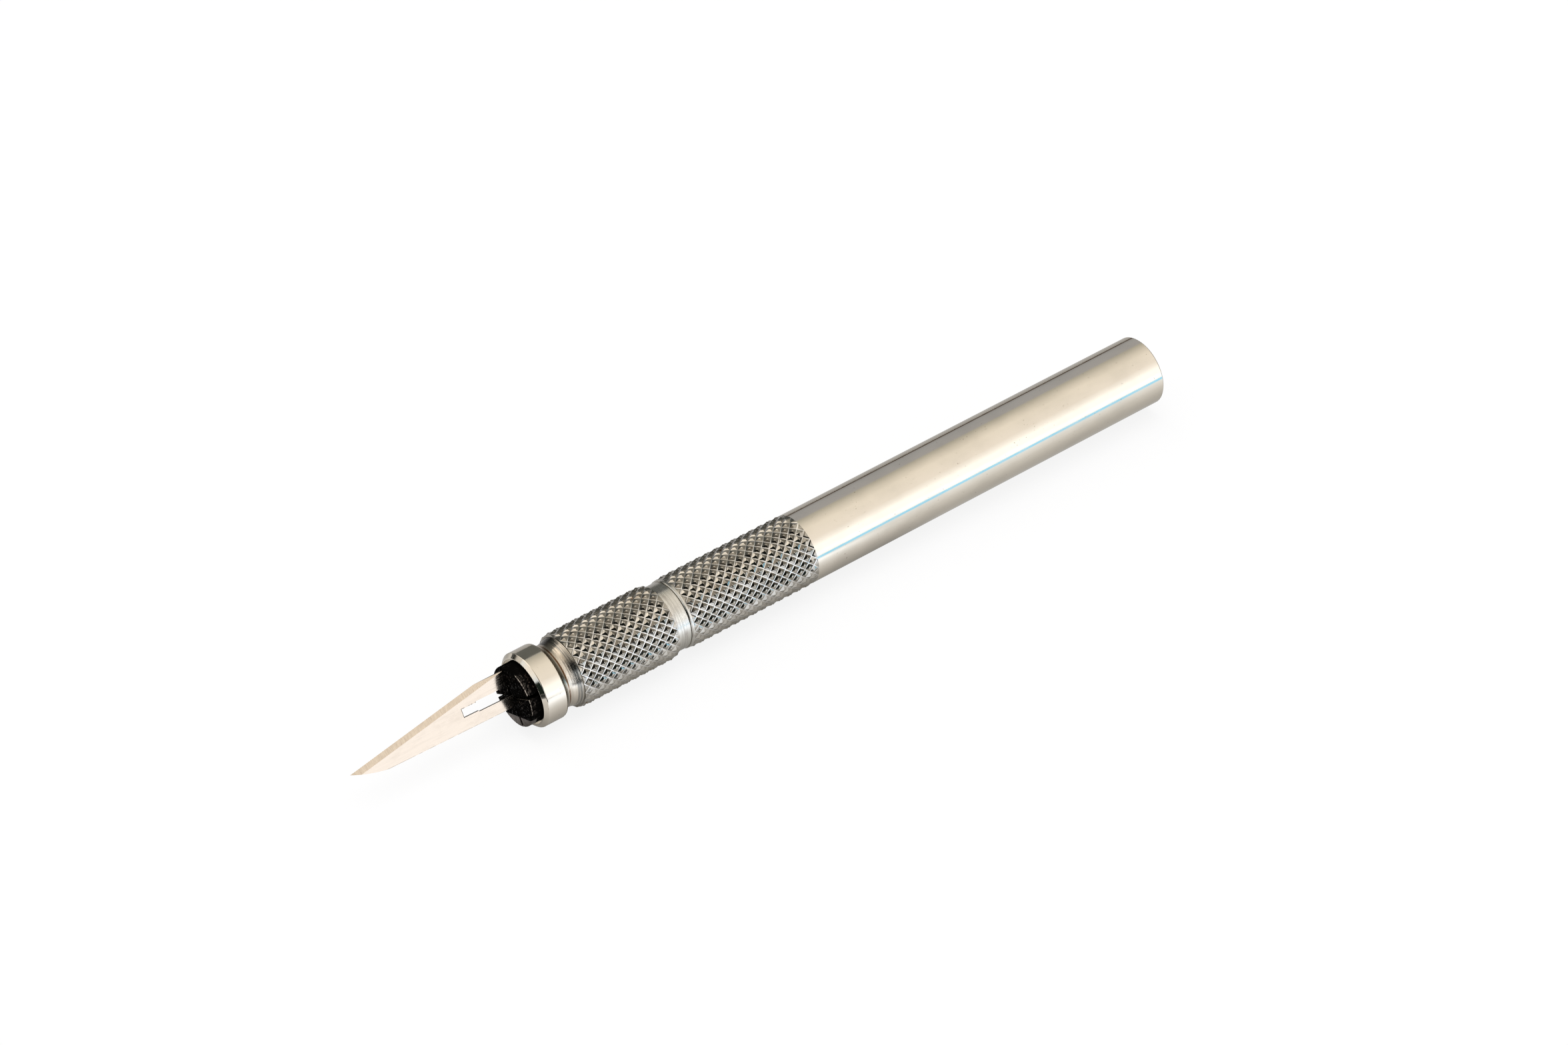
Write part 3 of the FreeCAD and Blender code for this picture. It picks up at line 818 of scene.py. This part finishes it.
def add_floor():
    """A plain white floor that keeps a faint shadow."""
    material, tree, shader = new_material("floor_paint")
    shader.inputs["Base Color"].default_value = FLOOR_TONE
    shader.inputs["Roughness"].default_value = 0.9
    shader.inputs["Specular IOR Level"].default_value = 0.1
    light_path = add(tree, "ShaderNodeLightPath")
    seen = light_path.outputs["Is Camera Ray"]
    for other in ("Is Glossy Ray", "Is Transmission Ray"):
        seen = calculate(tree, "MAXIMUM", seen, light_path.outputs[other])
    share = calculate(tree, "MULTIPLY", seen, FLOOR_WHITE_SHARE)
    glow = add(tree, "ShaderNodeEmission", {"Color": (1.0, 1.0, 1.0, 1.0), "Strength": 1.0})
    both = add(tree, "ShaderNodeMixShader", {}, {0: share, 1: shader.outputs[0], 2: glow.outputs[0]})
    tree.links.new(both.outputs[0], tree.nodes["Material Output"].inputs["Surface"])
    reach = FLOOR_REACH
    corners = [(-reach, -reach, 0), (reach, -reach, 0), (reach, reach, 0), (-reach, reach, 0)]
    add_plane("floor", corners, material)


def ramp_of(tree, share, stops, low, high):
    """A colour ramp over a range, its stops (value, colour) as shares of LIGHT_REACH."""
    ramp = add(tree, "ShaderNodeValToRGB", links={"Fac": share})
    elements = ramp.color_ramp.elements
    for number, (value, colour) in enumerate(stops):
        position = (value - low) / (high - low)
        element = elements[number] if number < 2 else elements.new(position)
        element.position = position
        element.color = (*[channel / LIGHT_REACH for channel in colour], 1.0)
    return ramp.outputs["Color"]


# The room's light. The first three sets go by degrees about the knife's axis, from the back horizon over the
# top to the front one: for directions that lean to the right, hardly lean, and lean to the left.
# The last two go by height in degrees, for the two ends.
RIGHT_LIGHT = (
    (-90.0, (0.10, 0.075, 0.055)),
    (-84.0, (0.10, 0.075, 0.055)),
    (-81.5, (0.42, 0.42, 0.43)),
    (-70.0, (0.48, 0.49, 0.51)),
    (-44.0, (0.52, 0.52, 0.54)),
    (-38.0, (0.62, 0.60, 0.52)),
    (-16.0, (1.00, 0.94, 0.84)),
    (0.0, (1.20, 1.13, 1.02)),
    (38.0, (1.27, 1.20, 1.12)),
    (50.0, (1.45, 1.42, 1.38)),
    (62.0, (1.75, 1.75, 1.75)),
    (75.0, (1.75, 1.75, 1.75)),
    (82.0, (1.68, 1.78, 1.95)),
    (90.0, (1.68, 1.78, 1.95)),
)
MIDDLE_LIGHT = (
    (-90.0, (0.30, 0.29, 0.27)),
    (-82.0, (0.40, 0.38, 0.36)),
    (-76.0, (0.75, 0.72, 0.68)),
    (-55.0, (1.90, 1.80, 1.66)),
    (-30.0, (2.25, 2.12, 1.95)),
    (-16.0, (1.95, 1.82, 1.64)),
    (-4.0, (0.85, 0.78, 0.68)),
    (10.0, (0.45, 0.40, 0.34)),
    (18.0, (0.02, 0.02, 0.02)),
    (84.0, (0.012, 0.02, 0.016)),
    (90.0, (0.02, 0.03, 0.026)),
)
NECK_LIGHT = (
    (-90.0, (0.03, 0.03, 0.03)),
    (-82.0, (0.05, 0.05, 0.045)),
    (-76.0, (0.75, 0.72, 0.68)),
    (-30.0, (1.60, 1.48, 1.32)),
    (22.0, (0.70, 0.64, 0.55)),
    (32.0, (0.02, 0.02, 0.02)),
    (56.0, (0.012, 0.02, 0.016)),
    (64.0, (1.20, 1.30, 1.40)),
    (90.0, (1.50, 1.50, 1.50)),
)
END_LIGHT = (
    (0.0, (0.12, 0.115, 0.10)),
    (8.0, (0.18, 0.17, 0.15)),
    (20.0, (0.36, 0.34, 0.30)),
    (35.0, (0.55, 0.52, 0.46)),
    (90.0, (0.70, 0.66, 0.60)),
)
LEFT_LIGHT = (
    (0.0, (0.012, 0.02, 0.016)),
    (20.0, (0.012, 0.02, 0.016)),
    (23.0, (1.15, 1.25, 1.35)),
    (32.0, (1.30, 1.23, 1.13)),
    (90.0, (1.25, 1.18, 1.08)),
)
# Each light with the two leans along X between which it takes over
TURNED_ZONES = ((0.14, 0.04, MIDDLE_LIGHT), (-0.23, -0.27, NECK_LIGHT))
END_ZONES = ((0.60, 0.68, END_LIGHT), (-0.60, -0.70, LEFT_LIGHT))


def add_world():
    """The room's light by direction: bands of tone about the knife's axis, and one more set for each end."""
    world = bpy.data.worlds.new("studio")
    world.use_nodes = True
    tree = world.node_tree
    background = tree.nodes["Background"]
    where = add(tree, "ShaderNodeTexCoord")
    parts = add(tree, "ShaderNodeSeparateXYZ", links={"Vector": where.outputs["Generated"]})
    towards_front = calculate(tree, "MULTIPLY", parts.outputs["Y"], -1.0)
    turn_angle = calculate(tree, "ARCTAN2", towards_front, parts.outputs["Z"])
    height = calculate(tree, "ARCSINE", parts.outputs["Z"])
    around = remap(tree, turn_angle, -math.pi / 2, math.pi / 2)
    rise = remap(tree, height, 0.0, math.pi / 2)
    along = parts.outputs["X"]
    light = ramp_of(tree, around, RIGHT_LIGHT, -90.0, 90.0)
    for start, full, stops in TURNED_ZONES:
        band_light = ramp_of(tree, around, stops, -90.0, 90.0)
        light = mix_colour(tree, remap(tree, along, start, full), light, band_light)
    for start, full, stops in END_ZONES:
        end_light = ramp_of(tree, rise, stops, 0.0, 90.0)
        light = mix_colour(tree, remap(tree, along, start, full), light, end_light)
    tree.links.new(light, background.inputs["Color"])
    background.inputs["Strength"].default_value = LIGHT_REACH
    bpy.context.scene.world = world


# Painted reflection of the floor for the polished sides, darker close to the knife as its painted shadow, by
# millimetres from the knife
ROD_PAINTED_REFLECTION = (
    (0.0, (0.45, 0.44, 0.43)),
    (6.0, (0.57, 0.56, 0.54)),
    (8.0, (0.63, 0.62, 0.60)),
    (12.0, (0.80, 0.79, 0.77)),
    (20.0, (1.03, 1.03, 1.03)),
    (30.0, (1.14, 1.16, 1.18)),
    (46.0, (1.20, 1.26, 1.32)),
    (55.0, (0.52, 1.16, 1.65)),
    (150.0, (0.52, 1.16, 1.65)),
    (180.0, (1.75, 1.75, 1.75)),
    (200.0, (1.75, 1.75, 1.75)),
)
COLLAR_PAINTED_REFLECTION = (
    (0.0, (0.28, 0.27, 0.26)),
    (4.5, (0.35, 0.34, 0.32)),
    (8.0, (0.56, 0.55, 0.53)),
    (12.0, (0.80, 0.79, 0.78)),
    (20.0, (1.17, 1.19, 1.22)),
    (30.0, (1.56, 1.62, 1.72)),
    (40.0, (1.68, 1.78, 1.95)),
    (200.0, (1.68, 1.78, 1.95)),
)
BACK_PAINTED_REFLECTION = (
    (0.0, (0.90, 0.88, 0.86)),
    (7.0, (0.80, 0.78, 0.76)),
    (12.0, (0.64, 0.63, 0.62)),
    (24.0, (0.54, 0.53, 0.52)),
    (200.0, (0.46, 0.45, 0.44)),
)
# Millimetres from the knife at which the shades above end
SHADE_REACH = 200.0
# Places along the knife between which the rod's shades take over, and those where the card darkens leftwards
ROD_FLOOR_RANGE = (GRIP_END + 17.0, GRIP_END + 27.0)
TIP_SHADE_RANGE = (-2.0, -12.0)
FAR_DARK_RANGE = (-42.0, -54.0)
TIP_SHADE_SHARE = 0.8
TIP_SHADE = (0.36, 0.35, 0.34, 1.0)
FAR_DARK = (0.010, 0.012, 0.011, 1.0)
# A painted dark reflection in front on the left, cut off on a slant
SLANT_WAY = Vector((1.0, 0.5, 0.0))
SLANT_RANGE = (-8.0, -16.0)
CORNER_STRETCH = (-180.0, -60.0)
CORNER_SOFTNESS = 20.0

# The low card's size and height, and the corners and colour of the dark card behind the collar
CARD_REACH = 1.5
CARD_HEIGHT = 0.0001
BACK_CARD = ((-0.060, 0.1, 0.014), (0.044, 0.1, 0.014), (0.076, 0.1, 0.122), (-0.060, 0.1, 0.122))
BACK_CARD_TONE = (0.165, 0.17, 0.16, 1.0)


def glow_material(name):
    """A new material with an empty node tree, for a card that glows."""
    material = bpy.data.materials.new(name)
    material.use_nodes = True
    material.node_tree.nodes.clear()
    return material, material.node_tree


def finish_glow(tree, settings, links=None):
    """Gives a card's material its glow."""
    glow = add(tree, "ShaderNodeEmission", settings, links)
    output = add(tree, "ShaderNodeOutputMaterial")
    tree.links.new(glow.outputs[0], output.inputs["Surface"])


def add_floor_card():
    """A low glowing card about the knife that only polished sides mirror: a painted floor reflection, with a
    painted shadow close to the knife.
    """
    material, tree = glow_material("painted_floor_card")
    across = measured(tree, BACK_WAY)
    front = remap(tree, across, 0.0, -SHADE_REACH)
    back = remap(tree, across, 0.0, SHADE_REACH)
    along = measured(tree, ALONG_WAY)
    rod_part = remap(tree, along, *ROD_FLOOR_RANGE)
    colour = mix_colour(tree, rod_part, ramp_of(tree, front, COLLAR_PAINTED_REFLECTION, 0.0, SHADE_REACH),
                        ramp_of(tree, front, ROD_PAINTED_REFLECTION, 0.0, SHADE_REACH))
    behind = remap(tree, across, -0.5, 0.5)
    colour = mix_colour(tree, behind, colour, ramp_of(tree, back, BACK_PAINTED_REFLECTION, 0.0, SHADE_REACH))
    tip_share = remap(tree, along, *TIP_SHADE_RANGE, 0.0, TIP_SHADE_SHARE)
    colour = mix_colour(tree, tip_share, colour, TIP_SHADE)
    colour = mix_colour(tree, remap(tree, along, *FAR_DARK_RANGE), colour, FAR_DARK)
    slant = measured(tree, SLANT_WAY)
    corner = times(tree, remap(tree, slant, *SLANT_RANGE),
                   band(tree, across, *CORNER_STRETCH, CORNER_SOFTNESS))
    colour = mix_colour(tree, corner, colour, FAR_DARK)
    finish_glow(tree, {"Strength": LIGHT_REACH}, {"Color": colour})
    reach, low = CARD_REACH, CARD_HEIGHT
    corners = [(-reach, reach, low), (-reach, -reach, low), (reach, -reach, low), (reach, reach, low)]
    show_to_gloss_only(add_plane("painted_floor_card", corners, material))


def show_to_gloss_only(card):
    """Hides a card from everything but mirrored rays."""
    card.visible_camera = False
    card.visible_diffuse = False
    card.visible_shadow = False
    card.visible_transmission = False


def add_back_card():
    """A dark glowing card behind the collar that only mirrored rays see: a painted dark reflection, which
    gives the ring's back its grey face.
    """
    material, tree = glow_material("back_card")
    finish_glow(tree, {"Color": BACK_CARD_TONE, "Strength": 1.0})
    show_to_gloss_only(add_plane("back_card", BACK_CARD, material))


def add_lamp():
    """A broad soft lamp over the knife, for the floor."""
    light = bpy.data.lights.new("soft_lamp", "AREA")
    light.shape = "DISK"
    light.size = LAMP_WIDTH
    light.energy = LAMP_POWER
    lamp = bpy.data.objects.new("soft_lamp", light)
    lamp.location = LAMP_PLACE
    lamp.visible_glossy = False
    lamp.visible_camera = False
    bpy.context.scene.collection.objects.link(lamp)


def add_camera():
    """The photograph's own viewpoint."""
    data = bpy.data.cameras.new("camera")
    data.sensor_width = CAMERA_SENSOR
    data.lens = CAMERA_LENS
    data.clip_start = CAMERA_NEAR
    data.clip_end = CAMERA_FAR
    camera = bpy.data.objects.new("camera", data)
    azimuth, elevation = math.radians(CAMERA_AZIMUTH), math.radians(CAMERA_ELEVATION)
    back = Vector((
        math.sin(azimuth) * math.cos(elevation),
        -math.cos(azimuth) * math.cos(elevation),
        math.sin(elevation),
    ))
    camera.location = CAMERA_PLACE
    camera.rotation_mode = "QUATERNION"
    camera.rotation_quaternion = (-back).to_track_quat("-Z", "Y")
    bpy.context.scene.collection.objects.link(camera)
    bpy.context.scene.camera = camera


add_floor()
add_floor_card()
add_back_card()
add_world()
add_lamp()
add_camera()
bpy.context.scene.view_settings.view_transform = "Standard"
